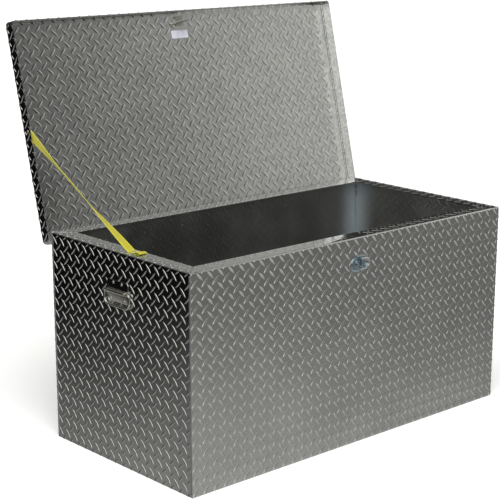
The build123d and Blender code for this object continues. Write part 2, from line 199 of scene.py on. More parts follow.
def rolled_metal(name, light, dark, rough, rolling, haze=0.12):
    """Rolled aluminium: streaks along the rolling direction, hazy patches, fine scratches and smears."""
    material, wire = new_material(name)
    here = place(wire)
    grain = here.stretched(rolling).noise(9, 4, 0.6)
    patches = here.noise(5.5, 4, 0.6)
    smears = here.stretched((2.0, 2.0, 9.0)).noise(3.5, 5, 0.65)
    speck = here.noise(260, 2, 0.5)
    scratch = here.stretched([r * 2.5 for r in rolling]).noise(22, 2, 0.4).above(0.64, 0.7)
    tone = (grain * 0.45 + patches * 0.55).above(0.3, 0.7)
    colour = tone.blend(dark, light)
    roughness = smears.above(0.4, 0.8) * haze + grain * 0.04 + scratch * 0.06 + rough
    relief = grain * 0.3 + speck * 0.06 + scratch * 0.3
    finish_material(wire, {
        "Base Color": colour,
        "Metallic": 1.0,
        "Roughness": roughness,
        "Normal": relief.bump(0.12, 0.0001),
    })
    return material


def inner_metal():
    """The sheets' smooth inner sides: dull mill finish with long thin scratches, coloured darker than the
    lid's inner side as painted shade, with painted bluish light high up beside the corner welds.
    """
    material, wire = new_material("mill_finish_inside_painted_light_and_shade")
    here = place(wire)
    x, y, z = here.parts()
    patches = here.noise(7, 5, 0.6)
    cloud = here.noise(2.3, 3, 0.5)
    across = here.stretched((260.0, 260.0, 3.2)).noise(1.0, 2, 0.4).above(0.71, 0.73)
    along = here.stretched((3.0, 3.0, 240.0)).noise(1.0, 2, 0.4).above(0.72, 0.74)
    rubbed = across * cloud.above(0.5, 0.62) + along * cloud.above(0.55, 0.66)
    tone = (patches * 0.6 + cloud * 0.4).above(0.3, 0.7)
    # painted bluish light beside the inside corner welds, fading out towards the bottom
    across_x = wire.make("ShaderNodeMath", {"operation": "ABSOLUTE"}, {0: x})
    across_y = wire.make("ShaderNodeMath", {"operation": "ABSOLUTE"}, {0: y})
    painted_corner_light = across_x.above(HALF_W - 0.1, HALF_W - 0.01) * across_y.above(HALF_D - 0.1, HALF_D - 0.01)
    painted_corner_light = painted_corner_light * (patches * 0.5 + 0.7) * z.above(0.1, 0.45)
    # painted shade: the chest's inner sides take darker colours than the same sheet's inner side on the lid
    colour = tone.blend((0.47, 0.47, 0.46, 1), (0.59, 0.6, 0.6, 1))
    # painted light: the metal near the corners turns pale blue
    colour = painted_corner_light.blend(colour, (0.88, 0.95, 1.0, 1))
    colour = (rubbed * 0.6).blend(colour, (0.72, 0.75, 0.8, 1))
    roughness = patches.above(0.3, 0.7) * 0.16 + rubbed * 0.15 + painted_corner_light * 0.25 + 0.32
    finish_material(wire, {
        "Base Color": colour,
        "Metallic": 1.0,
        "Roughness": roughness,
        "Normal": (here.noise(300, 2, 0.5) * 0.4 + patches * 0.3).bump(0.2, 0.0001),
    })
    return material


def lid_inner_metal():
    """The lid's smooth inner side: bright, a little cloudy, with a faint print of the tread."""
    material, wire = new_material("mill_finish_lid")
    here = place(wire)
    patches = here.noise(6, 5, 0.62)
    streaks = here.stretched((70.0, 2.5, 2.5)).noise(1.0, 4, 0.6)
    spots = here.noise(90, 3, 0.5).above(0.62, 0.72)
    mottle = here.noise(75, 3, 0.6).above(0.35, 0.65)
    tone = (patches * 0.4 + streaks * 0.3 + mottle * 0.3).above(0.32, 0.68)
    colour = tone.blend((0.68, 0.69, 0.69, 1), (0.84, 0.84, 0.83, 1))
    roughness = patches.above(0.3, 0.7) * 0.08 + streaks * 0.06 + spots * 0.06 + 0.09
    finish_material(wire, {
        "Base Color": colour,
        "Metallic": 1.0,
        "Roughness": roughness,
        "Normal": (here.noise(280, 2, 0.5) * 0.1 + streaks * 0.4).bump(0.15, 0.0001),
    })
    return material


def bright_metal(name, light, dark, rough, grain=220, haze=0.12, relief=0.25):
    """Plated or polished fittings: fine grain, soft smears and small pits."""
    material, wire = new_material(name)
    here = place(wire)
    fine = here.noise(grain, 3, 0.6)
    smears = here.noise(35, 4, 0.6)
    pits = here.noise(700, 2, 0.5).above(0.66, 0.74)
    colour = (smears * 0.7 + fine * 0.3).above(0.3, 0.7).blend(dark, light)
    colour = (pits * 0.4).blend(colour, grey(0.12))
    finish_material(wire, {
        "Base Color": colour,
        "Metallic": 1.0,
        "Roughness": smears.above(0.35, 0.7) * haze + pits * 0.2 + rough,
        "Normal": (fine * 0.5 - pits * 0.8).bump(relief, 0.0001),
    })
    return material


def weld_metal():
    """Weld beads: bright metal with random patches of soot and a little straw tint."""
    material, wire = new_material("weld_metal")
    here = place(wire)
    soot = here.noise(60, 4, 0.6)
    tint = here.noise(24, 3, 0.5)
    colour = soot.above(0.35, 0.65).blend(grey(0.34), grey(0.78))
    colour = (tint.above(0.55, 0.75) * 0.4).blend(colour, (0.62, 0.5, 0.34, 1))
    finish_material(wire, {
        "Base Color": colour,
        "Metallic": 1.0,
        "Roughness": soot * 0.3 + 0.2,
        "Normal": (here.noise(500, 3, 0.6) * 0.6 + soot * 0.5).bump(0.35, 0.0002),
    })
    return material


def webbing():
    """Woven polyester tape: diagonal ribs, darker gaps, firm edges and a few loose red-brown fibres."""
    material, wire = new_material("yellow_webbing")
    uv = wire.make("ShaderNodeUVMap", {"uv_map": "tape"})
    across, along, unused = uv.parts()
    ribs = wire.make("ShaderNodeMath", {"operation": "SINE"}, {0: (across + along) * (2 * pi / 0.0021)})
    cross = wire.make("ShaderNodeMath", {"operation": "SINE"}, {0: (across - along) * (2 * pi / 0.0021)})
    weft = wire.make("ShaderNodeMath", {"operation": "SINE"}, {0: along * (2 * pi / 0.0009)})
    weave = ribs * cross * 0.35 + weft * 0.2 + 0.5
    wear = place(wire).noise(60, 4, 0.6)
    fibre = uv.stretched((900.0, 45.0, 1.0)).noise(1.0, 2, 0.5).above(0.66, 0.74)
    middle = wire.make("ShaderNodeMath", {"operation": "ABSOLUTE"}, {0: across - 0.0125})
    edge = middle.above(0.0088, 0.0112)
    colour = weave.blend((0.3, 0.265, 0.015, 1), (0.52, 0.475, 0.035, 1))
    colour = (edge * 0.55).blend(colour, (0.58, 0.61, 0.07, 1))
    colour = (fibre * 0.35).blend(colour, (0.5, 0.22, 0.06, 1))
    colour = (wear.above(0.5, 0.75) * 0.25).blend(colour, (0.5, 0.45, 0.12, 1))
    finish_material(wire, {
        "Base Color": colour,
        "Roughness": wear * 0.15 + 0.72,
        "Sheen Weight": 0.1,
        "Sheen Roughness": 0.5,
        "Normal": weave.bump(0.6, 0.0003),
    })
    return material


def sticker(low, high):
    """A pale printed label with plain bars in place of any writing."""
    material, wire = new_material("pale_sticker")
    here = place(wire)
    x, y, z = here.parts()
    rows = wire.make("ShaderNodeMath", {"operation": "SINE"}, {0: (z - low.z) * (2 * pi / 0.0042)})
    words = here.stretched((150.0, 1.0, 9.0)).noise(1.0, 2, 0.5).above(0.45, 0.5)
    inside = x.above(low.x + 0.004, low.x + 0.005) * (1 - x.above(high.x - 0.008, high.x - 0.007))
    print_mask = rows.above(0.35, 0.6) * words * inside
    stain = here.noise(70, 4, 0.6)
    colour = (print_mask * 0.5).blend((0.6, 0.6, 0.68, 1), (0.24, 0.25, 0.33, 1))
    colour = (stain.above(0.5, 0.8) * 0.25).blend(colour, (0.42, 0.41, 0.44, 1))
    finish_material(wire, {
        "Base Color": colour,
        "Roughness": stain * 0.2 + 0.4,
        "Normal": stain.bump(0.15, 0.0002),
    })
    return material


ALONG_X = (1.2, 30.0, 30.0)
ALONG_Y = (30.0, 1.2, 30.0)
sheet_metal = rolled_metal("tread_sheet", grey(0.78), grey(0.68), 0.05, ALONG_X, 0.07)
end_metal = rolled_metal("tread_sheet_ends", grey(0.78), grey(0.68), 0.03, ALONG_Y, 0.03)
# painted highlight: the lugs get a lighter colour than the sheet they are pressed from
lug_metal_painted_highlight = rolled_metal("tread_lugs_painted_highlight", grey(0.84), grey(0.74), 0.09, (12.0, 12.0, 12.0), 0.06)
inside = inner_metal()
lid_inside = lid_inner_metal()
steel = bright_metal("hinge_steel", grey(0.72), grey(0.55), 0.24)
rivet_metal = bright_metal("rivet_heads", grey(0.88), grey(0.7), 0.14)
chrome = bright_metal("handle_chrome", (0.85, 0.84, 0.8, 1), (0.66, 0.65, 0.6, 1), 0.03, 220, 0.04, 0.08)
lock_metal = bright_metal("lock_chrome", (0.66, 0.76, 0.82, 1), (0.42, 0.54, 0.6, 1), 0.12)
zinc = bright_metal("zinc_steel", (0.66, 0.65, 0.6, 1), (0.5, 0.5, 0.46, 1), 0.3)
weld = weld_metal()
ground_weld = bright_metal("ground_weld", (0.86, 0.9, 0.95, 1), (0.66, 0.7, 0.75, 1), 0.42, 120)
pull_metal = bright_metal("pull_chrome", grey(0.9), grey(0.72), 0.1)
yellow_tape = webbing()


# ---- mesh helpers
def piece_from(bm, name, materials, body, replaced=(), smooth=True):
    """Turns a bmesh into a named piece that rides on a body."""
    mesh = bpy.data.meshes.new(name)
    bm.to_mesh(mesh)
    bm.free()
    for material in materials:
        mesh.materials.append(material)
    mesh.shade_smooth() if smooth else mesh.shade_flat()
    piece = bpy.data.objects.new(name, mesh)
    bpy.context.scene.collection.objects.link(piece)
    if smooth:
        mesh.set_sharp_from_angle(angle=radians(38))
    if body:
        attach(piece, body)
    if replaced:
        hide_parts(*replaced)
    return piece


def dress(node, material):
    """Gives a CAD node its finish."""
    slots = frame["nodes"][node].data.materials
    slots.clear()
    slots.append(material)


def cut(bm, at, normal, clear=False, faces=None):
    """Cuts through a mesh, or through some of its faces, and can drop what lies beyond the cut."""
    faces = list(bm.faces) if faces is None else faces
    edges = {e for f in faces for e in f.edges}
    verts = {v for f in faces for v in f.verts}
    bmesh.ops.bisect_plane(
        bm,
        geom=list(verts) + list(edges) + list(faces),
        dist=1e-7,
        plane_co=at,
        plane_no=normal,
        clear_outer=clear,
    )


def close_holes(bm):
    rims = [e for e in bm.edges if e.is_boundary]
    if rims:
        bmesh.ops.holes_fill(bm, edges=rims, sides=0)


def lens(length, width, height, buried, columns, rows, crisp):
    """One closed tread lug lying on z = 0: pointed at both ends, crowned in the middle."""
    bm = bmesh.new()
    bmesh.ops.create_grid(bm, x_segments=columns, y_segments=rows, size=1)
    for v in bm.verts:
        t = sin(v.co.x * pi / 2)
        q = v.co.y
        q = 1.24 * q if abs(q) < 0.75 else q
        span = 1 - t * t
        rise = (1 - q * q) ** crisp * min(1, 1.35 * span ** 0.6)
        edge = abs(q) > 0.99 or abs(t) > 0.999
        v.co = (length / 2 * t, width / 2 * span * q, -buried if edge else height * rise)
    bmesh.ops.remove_doubles(bm, verts=bm.verts, dist=1e-6)
    close_holes(bm)
    bmesh.ops.recalc_face_normals(bm, faces=bm.faces)
    mesh = bpy.data.meshes.new("lens")
    bm.to_mesh(mesh)
    bm.free()
    return mesh


LUG = lens(LUG_LENGTH, LUG_WIDTH, LUG_HEIGHT, BURIED, 8, 6, 0.9)
PRINT = lens(LUG_LENGTH * 0.98, LUG_WIDTH * 1.3, PRINT_HEIGHT, 0.05 * MM, 8, 4, 1.4)


def tread(bm, shape, low, high, fences_at, shaper, flip=1, phase=(0.0, 0.0)):
    """Fills a flat blank with lugs, trims those that cross a fence near them, and shapes each one."""
    first = [int((low[i] - phase[i]) / PITCH) - 1 for i in (0, 1)]
    last = [int((high[i] - phase[i]) / PITCH) + 1 for i in (0, 1)]
    reach = LUG_LENGTH / 2 + 0.5 * MM
    for column in range(first[0], last[0] + 1):
        for row in range(first[1], last[1] + 1):
            for half, turn in ((0.0, 45), (0.5, -45)):
                a = (column + half) * PITCH + phase[0]
                s = (row + half) * PITCH + phase[1]
                centre = Vector((a, s, 0))
                fences = fences_at(centre)
                if fences is None:
                    continue
                depths = [(centre - at).dot(normal) for at, normal in fences]
                if depths and max(depths) > reach:
                    continue
                lug = bmesh.new()
                lug.from_mesh(shape)
                turned = Matrix.Translation(centre) @ Matrix.Rotation(radians(turn), 4, "Z")
                bmesh.ops.transform(lug, matrix=turned, verts=lug.verts)
                for (at, normal), depth in zip(fences, depths):
                    if depth > -reach and lug.faces:
                        cut(lug, at, normal, True)
                        close_holes(lug)
                if lug.faces:
                    for v in lug.verts:
                        v.co = shaper(v.co.x, v.co.y, flip * v.co.z)
                    if flip < 0:
                        bmesh.ops.reverse_faces(lug, faces=lug.faces)
                    mesh = bpy.data.meshes.new("lug")
                    lug.to_mesh(mesh)
                    bm.from_mesh(mesh)
                    bpy.data.meshes.remove(mesh)
                lug.free()


# ---- chest walls: a flat blank of sheet, folded over a rim bend
STRAIGHT = HEIGHT - BEND
ARC = BEND * pi / 2
FOLD_END = STRAIGHT + ARC
BLANK_TOP = FOLD_END + RIM - BEND
MITRE_START = STRAIGHT + BEND * pi / 3
MITRE_GAP = 0.25 * MM


def dent(a, s, seed, half, tall):
    """How far hand-bent thin sheet stands out of true at a point, in metres."""
    margin = max(0.0, min(half - abs(a), s, tall - s)) / (90 * MM)
    fade = min(1.0, margin)
    fade = fade * fade * (3 - 2 * fade)
    swell = noise.noise(Vector((a * 2.3, s * 2.6, seed)))
    small = noise.noise(Vector((a * 7.0, s * 6.0, seed + 9.3)))
    return fade * (1.1 * MM * swell + 0.25 * MM * small)


def wall_shaper(along, out, offset, half, seed):
    """Returns the function that folds blank coordinates into a wall with its rim flange."""
    def shaped(a, s, w):
        if s <= STRAIGHT:
            w += dent(a, s, seed, half, STRAIGHT)
            return along * a + out * (offset + w) + Z * s
        if s <= FOLD_END:
            turn = (s - STRAIGHT) / BEND
            inward = offset - BEND + (BEND + w) * cos(turn)
            return along * a + out * inward + Z * (HEIGHT - BEND + (BEND + w) * sin(turn))
        # the press brake flattens the lugs that it bears on
        pressed = w * 0.6 if w > 0 else w
        return along * a + out * (offset - BEND - (s - FOLD_END)) + Z * (HEIGHT + pressed)
    return shaped


def wall_fences(half, wide):
    """The edges of a wall blank: its ends, its foot, its lip and the two mitres."""
    fences = [
        (Vector((half, 0, 0)), X),
        (Vector((-half, 0, 0)), -X),
        (Vector((0, 0, 0)), -Y),
        (Vector((0, BLANK_TOP, 0)), Y),
    ]
    mitres = []
    for side in (-1, 1):
        at = Vector((side * (wide - SHEET - MITRE_GAP), MITRE_START, 0))
        mitres.append((at, Vector((side, 1, 0)).normalized()))
    return fences, mitres


def wall(name, out, offset, half, wide, body_metal, seed, slot_box=None, phase=(0.0, 0.0)):
    """One chest wall as two pieces: the sheet with its inside print, and the lugs on its outside."""
    along = Z.cross(out)
    fences, mitres = wall_fences(half, wide)
    shaped = wall_shaper(along, out, offset, half, seed)
    bm = bmesh.new()
    bmesh.ops.create_grid(bm, x_segments=1, y_segments=1, size=0.5)
    bmesh.ops.scale(bm, vec=(2 * half, BLANK_TOP, 1), verts=bm.verts)
    bmesh.ops.translate(bm, vec=(0, BLANK_TOP / 2, 0), verts=bm.verts)
    steps = round(2 * half / (30 * MM))
    for i in range(1, steps):
        cut(bm, (-half + 2 * half * i / steps, 0, 0), X)
    rows = [STRAIGHT * i / 20 for i in range(1, 20)]
    rows += [STRAIGHT + ARC * i / 6 for i in range(7)]
    for s in rows:
        cut(bm, (0, s, 0), Y)
    for at, normal in mitres:
        upper = [f for f in bm.faces if f.calc_center_median().y > MITRE_START]
        cut(bm, at, normal, True, upper)
    if slot_box:
        a0, a1, s0, s1 = slot_box
        for at, normal in (((a0, 0, 0), X), ((a1, 0, 0), X), ((0, s0, 0), Y), ((0, s1, 0), Y)):
            cut(bm, at, normal)
        opened = []
        for f in bm.faces:
            c = f.calc_center_median()
            if a0 < c.x < a1 and s0 < c.y < s1:
                opened.append(f)
        bmesh.ops.delete(bm, geom=opened, context="FACES")
    thicken(bm)
    for v in bm.verts:
        v.co = shaped(v.co.x, v.co.y, v.co.z)
    trims = [(Vector((0, 10 * MM, 0)), -Y), (Vector((0, STRAIGHT - 10 * MM, 0)), Y)]
    trims += [(Vector((side * (half - 10 * MM), 0, 0)), X * side) for side in (-1, 1)]
    inner = bmesh.new()

    def behind(a, s, w):
        return shaped(a, s, w - SHEET)

    def trims_near(centre):
        return trims

    tread(inner, PRINT, (-half, 0), (half, BLANK_TOP), trims_near, behind, -1, phase)
    add_faces(bm, inner, 1)
    piece_from(bm, name + "_sheet", [body_metal, inside], "chest", (name,))
    bm = bmesh.new()

    def edges_near(centre):
        """The edges that a lug can cross; a lug whose middle is beside the slot is left off."""
        if slot_box:
            a0, a1, s0, s1 = slot_box
            reach = LUG_LENGTH / 2
            if a0 - reach < centre.x < a1 + reach and s0 - reach < centre.y < s1 + reach:
                return None
        return fences + (mitres if centre.y > STRAIGHT - LUG_LENGTH else [])

    tread(bm, LUG, (-half, 0), (half, BLANK_TOP), edges_near, shaped, 1, phase)
    piece_from(bm, name + "_lugs", [lug_metal_painted_highlight], "chest")


def thicken(bm):
    """Gives a flat blank the sheet's thickness on its back, with the back faces in material 1."""
    made = bmesh.ops.extrude_face_region(bm, geom=list(bm.faces), use_keep_orig=True)
    inner = [f for f in made["geom"] if isinstance(f, bmesh.types.BMFace)]
    for v in {v for f in inner for v in f.verts}:
        v.co.z -= SHEET
    for f in inner:
        f.material_index = 1
    bmesh.ops.recalc_face_normals(bm, faces=bm.faces)


def add_faces(bm, other, material):
    """Joins another bmesh into this one, all in one material."""
    for f in other.faces:
        f.material_index = material
    mesh = bpy.data.meshes.new("part")
    other.to_mesh(mesh)
    other.free()
    bm.from_mesh(mesh)
    bpy.data.meshes.remove(mesh)


def add_walls():
    depth_in = BEND + 16 * MM
    slot_span = (-19 * MM, 14 * MM, FOLD_END + depth_in - BEND, FOLD_END + depth_in + 8 * MM - BEND)
    wall("front_panel", -Y, HALF_D, HALF_W, HALF_W, sheet_metal, 1.7, slot_span, (6 * MM, 11 * MM))
    wall("rear_panel", Y, HALF_D, HALF_W, HALF_W, sheet_metal, 5.1, None, (3 * MM, 7 * MM))
    wall("left_end_panel", -X, HALF_W, END_HALF, HALF_D, end_metal, 3.3, None, (9 * MM, 4 * MM))
    wall("right_end_panel", X, HALF_W, END_HALF, HALF_D, end_metal, 8.6, None, (5 * MM, 14 * MM))


def add_floor():
    """The floor sheet, with the tread's print showing through."""
    low, high = floor_low, floor_high
    wide = high.x - low.x
    deep = high.y - low.y
    bm = bmesh.new()
    bmesh.ops.create_grid(bm, x_segments=30, y_segments=15, size=0.5)
    bmesh.ops.scale(bm, vec=(wide, deep, 1), verts=bm.verts)
    bmesh.ops.translate(bm, vec=(0, 0, SHEET), verts=bm.verts)
    thicken(bm)
    marks = bmesh.new()
    fences = [(Vector((side * (wide / 2 - 12 * MM), 0, 0)), X * side) for side in (-1, 1)]
    fences += [(Vector((0, side * (deep / 2 - 12 * MM), 0)), Y * side) for side in (-1, 1)]

    def lay(a, s, w):
        return Vector((a, s, SHEET + w))

    def fences_near(centre):
        return fences

    tread(marks, PRINT, (-wide / 2, -deep / 2), (wide / 2, deep / 2), fences_near, lay)
    add_faces(bm, marks, 0)
    piece_from(bm, "floor_sheet", [inside, inside], "chest", ("floor_panel",))


# ---- lid: one sheet turned down all round
LID_TOP = lid_high.z
LID_SIDE = lid_high.x
LID_MID = (lid_low.y + lid_high.y) / 2
LID_HALF = (lid_high.y - lid_low.y) / 2
LID_CORNER = 9 * MM
LID_BEND = 7 * MM
LID_ARC = LID_BEND * pi / 2
LIP_RAISE = 3.6 * MM
LID_PHASE = (4 * MM, 9 * MM)
# how far the flat blank runs past the lid's outside before its flange's lip
FLANGE_REACH = LID_ARC - LID_BEND + LID_TOP - LID_BEND - 0.5 * MM


def lid_dent(x, y):
    """How far the lid's top stands out of true at a point, in metres."""
    margin = max(0.0, min(LID_SIDE - abs(x), LID_HALF - abs(y), LID_HALF + y - 90 * MM)) / (110 * MM)
    fade = min(1.0, margin)
    fade = fade * fade * (3 - 2 * fade)
    swell = noise.noise(Vector((x * 2.2, y * 2.4, 21.4)))
    small = noise.noise(Vector((x * 6.0, y * 7.0, 33.0)))
    return fade * (1.4 * MM * swell + 0.3 * MM * small)


def wrap(distance, half, w):
    """Runs a blank's distance from the middle round a bend: how far out it lands, and how far down."""
    straight = half - LID_BEND
    past = abs(distance) - straight
    sign = 1 if distance >= 0 else -1
    if past <= 0:
        return distance, 0.0
    if past <= LID_ARC:
        turn = past / LID_BEND
        return sign * (straight + (LID_BEND + w) * sin(turn)), LID_BEND - (LID_BEND + w) * cos(turn) + w
    return sign * (half + w), past - LID_ARC + LID_BEND + w


def lid_shaper(u, v, w):
    """Folds blank coordinates, measured from the middle of the lid's top, into the lid's place."""
    if abs(u) < LID_SIDE - LID_BEND and abs(v) < LID_HALF - LID_BEND:
        w += lid_dent(u, v)
    x, drop_x = wrap(u, LID_SIDE, w)
    y, drop_y = wrap(v, LID_HALF, w)
    drop = max(drop_x, drop_y)
    return LID @ Vector((x, LID_MID + y, LID_TOP + w - drop))


def lid_fences(centre):
    """Fences round the blank's cross: the flange's lip, and the rounded corners at its ends."""
    to_side = LID_SIDE - abs(centre.x)
    to_end = LID_HALF - abs(centre.y)
    if to_side < to_end:
        lip, corner, out, across = LID_SIDE + FLANGE_REACH, LID_HALF - LID_CORNER, X, Y
    else:
        lip, corner, out, across = LID_HALF + FLANGE_REACH, LID_SIDE - LID_CORNER, Y, X
    if out == Y and centre.y > 0:
        lip -= LIP_RAISE
    fences = []
    for side in (-1, 1):
        fences.append((out * side * lip, out * side))
        fences.append((across * side * corner, across * side))
    return fences


def add_lid():
    bm = bmesh.new()
    bmesh.ops.create_cube(bm, size=1)
    bmesh.ops.scale(bm, vec=(2 * LID_SIDE, 2 * LID_HALF, LID_TOP), verts=bm.verts)
    bmesh.ops.translate(bm, vec=(0, LID_MID, LID_TOP / 2), verts=bm.verts)
    open_side = [f for f in bm.faces if f.normal.z < -0.9]
    bmesh.ops.delete(bm, geom=open_side, context="FACES_ONLY")
    upright = [e for e in bm.edges if abs((e.verts[0].co - e.verts[1].co).normalized().z) > 0.9]
    bmesh.ops.bevel(bm, geom=upright, offset=LID_CORNER, segments=6, profile=0.5, affect="EDGES", material=-1)
    ring = [e for e in bm.edges if min(v.co.z for v in e.verts) > LID_TOP - 1e-5]
    bmesh.ops.bevel(bm, geom=ring, offset=LID_BEND, segments=5, profile=0.5, affect="EDGES", material=-1)
    for i in range(1, 44):
        cut(bm, (-LID_SIDE + 2 * LID_SIDE * i / 44, 0, 0), X)
    for i in range(1, 23):
        cut(bm, (0, LID_MID - LID_HALF + 2 * LID_HALF * i / 23, 0), Y)
    # the rear lip stands back from the hinge's knuckles
    leaf_low, leaf_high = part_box("hinge_lid_leaf")
    lip_half = leaf_high.x + 2 * MM
    rear = [f for f in bm.faces if f.normal.y > 0.9]
    cut(bm, (0, 0, LIP_RAISE), Z, False, rear)
    for side in (-1, 1):
        rear = [f for f in bm.faces if f.normal.y > 0.9]
        cut(bm, (side * lip_half, 0, 0), X, False, rear)
    low_lip = []
    for f in bm.faces:
        c = f.calc_center_median()
        if f.normal.y > 0.9 and abs(c.x) < lip_half and c.z < LIP_RAISE:
            low_lip.append(f)
    bmesh.ops.delete(bm, geom=low_lip, context="FACES")
    bmesh.ops.recalc_face_normals(bm, faces=bm.faces)
    bm.normal_update()
    top = next(f for f in bm.faces if f.calc_center_median().z > LID_TOP - 1e-5)
    if top.normal.z < 0:
        bmesh.ops.reverse_faces(bm, faces=bm.faces)
    made = bmesh.ops.extrude_face_region(bm, geom=list(bm.faces), use_keep_orig=True)
    inner = [f for f in made["geom"] if isinstance(f, bmesh.types.BMFace)]
    shift = {}
    for f in inner:
        f.material_index = 1
    for v in {v for f in inner for v in f.verts}:
        faces = [f for f in v.link_faces if f.material_index == 1]
        normal = sum((f.normal for f in faces), Vector()).normalized()
        spread = max(0.55, min(normal.dot(f.normal) for f in faces))
        shift[v] = normal * (SHEET / spread)
    for v, back in shift.items():
        v.co -= back
    bmesh.ops.recalc_face_normals(bm, faces=bm.faces)
    for v in bm.verts:
        x, y, z = v.co
        lift = lid_dent(x, y - LID_MID) if z > LID_TOP - SHEET - 1e-5 else 0
        v.co = LID @ Vector((x, y, z + lift))
    marks = bmesh.new()
    inset = 14 * MM
    fences = [(Vector((side * (LID_SIDE - inset), 0, 0)), X * side) for side in (-1, 1)]
    fences += [(Vector((0, side * (LID_HALF - inset), 0)), Y * side) for side in (-1, 1)]

    def behind(a, s, w):
        return lid_shaper(a, s, w - SHEET)

    kept_clear = [lid_box("info_label"), lid_box("striker")]

    def inside_edges(centre):
        for low, high in kept_clear:
            x_near = low.x - 11 * MM < centre.x < high.x + 11 * MM
            if x_near and low.y - 11 * MM < centre.y + LID_MID < high.y + 11 * MM:
                return None
        return fences

    tread(marks, PRINT, (-LID_SIDE, -LID_HALF), (LID_SIDE, LID_HALF), inside_edges, behind, -1, LID_PHASE)
    add_faces(bm, marks, 1)
    piece_from(bm, "lid_sheet", [sheet_metal, lid_inside], "lid", ("lid_skin",))

    bm = bmesh.new()
    side = LID_SIDE + FLANGE_REACH
    end = LID_HALF + FLANGE_REACH
    tread(bm, LUG, (-side, -end), (side, end), lid_fences, lid_shaper, 1, LID_PHASE)
    piece_from(bm, "lid_lugs", [lug_metal_painted_highlight], "lid")


# ---- welds, rivets and bent rod
# how thick a hinge leaf is
LEAF = 1.5 * MM


def islands(node, into=None):
    """The box of each separate solid in a CAD node, in the axes that the matrix turns into."""
    bm = bmesh.new()
    bm.from_mesh(frame["nodes"][node].data)
    bmesh.ops.remove_doubles(bm, verts=bm.verts, dist=1e-6)
    if into:
        bmesh.ops.transform(bm, matrix=into, verts=bm.verts)
    left = set(bm.verts)
    boxes = []
    while left:
        group = {left.pop()}
        edge = list(group)
        while edge:
            near = {e.other_vert(v) for v in edge for e in v.link_edges} - group
            group |= near
            edge = list(near)
        left -= group
        low = Vector([min(v.co[i] for v in group) for i in range(3)])
        high = Vector([max(v.co[i] for v in group) for i in range(3)])
        boxes.append((low, high))
    bm.free()
    return sorted(boxes, key=lambda box: tuple(box[0]))


def bead(bm, start, end, normal, half_width, height, ripple, step, seed):
    """One weld bead from start to end: rippled crown, wavering edges, rounded ends, flat root."""
    line = end - start
    length = line.length
    line.normalize()
    across = normal.cross(line)
    count = max(6, round(length / step))
    part = bmesh.new()
    bmesh.ops.create_grid(part, x_segments=count, y_segments=8, size=1)
    for v in part.verts:
        t = (v.co.x + 1) / 2
        q = v.co.y
        s = length * t
        wander = 0.1 * noise.noise(Vector((s * 190, seed, 0)))
        near_end = min(1.0, min(s, length - s) / (half_width * 1.1))
        taper = (1 - (1 - near_end) ** 2) ** 0.5
        chevron = s / (1.7 * MM) - 0.9 * q * q + 0.3 * noise.noise(Vector((s * 300, q * 2, seed)))
        crest = 1 + ripple * sin(2 * pi * chevron) + 0.18 * noise.noise(Vector((s * 500, q * 3, seed)))
        rise = height * max(0.0, 1 - q * q) ** 0.6 * crest * taper
        side = half_width * q * taper * (1 + wander)
        v.co = start + line * s + across * side + normal * (rise - 0.1 * MM)
    close_holes(part)
    bmesh.ops.remove_doubles(part, verts=part.verts, dist=1e-6)
    bmesh.ops.recalc_face_normals(part, faces=part.faces)
    add_faces(bm, part, 0)


